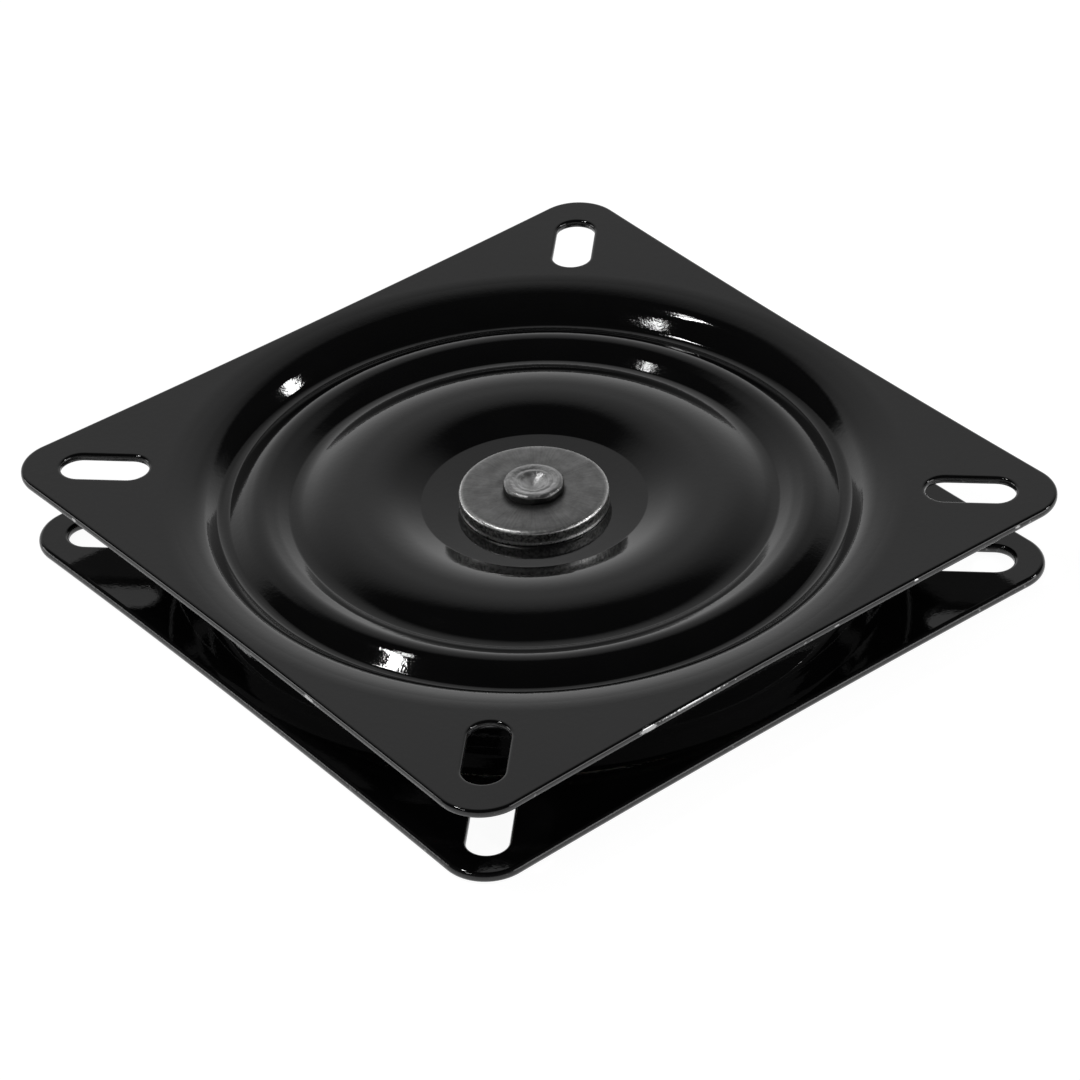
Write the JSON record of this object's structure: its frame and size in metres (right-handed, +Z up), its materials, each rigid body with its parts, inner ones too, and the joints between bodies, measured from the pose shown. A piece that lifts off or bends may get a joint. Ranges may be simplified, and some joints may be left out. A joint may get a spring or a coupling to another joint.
{
  "type": "boat seat swivel mount",
  "caption": "Square swivel mount of two dished black steel plates on a ball ring, riveted through a central washer, with a radial bolt slot at each corner.",
  "frame": {"origin": "on the swivel axis, at the underside of the lower plate's rim", "axes": "+Z up along the swivel axis; +X and +Y through the plates' corners, along the slots"},
  "size_m": [0.2422, 0.2422, 0.0218],
  "materials": {
    "black_coat": "gloss black coating on pressed steel sheet, sheared edges lightly coated",
    "cage_nylon": "natural moulded nylon, greased",
    "washer_steel": "bare punched steel, dull, with a bright rolled edge",
    "pin_steel": "bare steel, its head peened bright round a conical dimple",
    "ball_steel": "ground and polished bearing steel"
  },
  "bodies": {
    "base": {"lower_plate": "black_coat", "lower_washer": "washer_steel", "kingpin": "pin_steel", "upper_washer": "washer_steel"},
    "swivel": {"upper_plate": "black_coat"},
    "bearing": {"ball_cage": "cage_nylon", "ball_01": "ball_steel", "ball_02": "ball_steel", "ball_03": "ball_steel", "ball_04": "ball_steel", "ball_05": "ball_steel", "ball_06": "ball_steel", "ball_07": "ball_steel", "ball_08": "ball_steel", "ball_09": "ball_steel", "ball_10": "ball_steel", "ball_11": "ball_steel", "ball_12": "ball_steel", "ball_13": "ball_steel", "ball_14": "ball_steel", "ball_15": "ball_steel", "ball_16": "ball_steel", "ball_17": "ball_steel", "ball_18": "ball_steel", "ball_19": "ball_steel", "ball_20": "ball_steel", "ball_21": "ball_steel", "ball_22": "ball_steel", "ball_23": "ball_steel", "ball_24": "ball_steel"}
  },
  "joints": [
    {"name": "swivel_turn", "type": "hinge", "parent": "base", "child": "swivel", "pos_m": [0, 0, 0.0109], "axis": [0, 0, 1], "continuous": true},
    {"name": "bearing_turn", "type": "hinge", "parent": "base", "child": "bearing", "pos_m": [0, 0, 0.0109], "axis": [0, 0, 1], "continuous": true}
  ],
  "couplings": [
    {"joint": "bearing_turn", "follows": "swivel_turn", "ratio": 0.5}
  ]
}
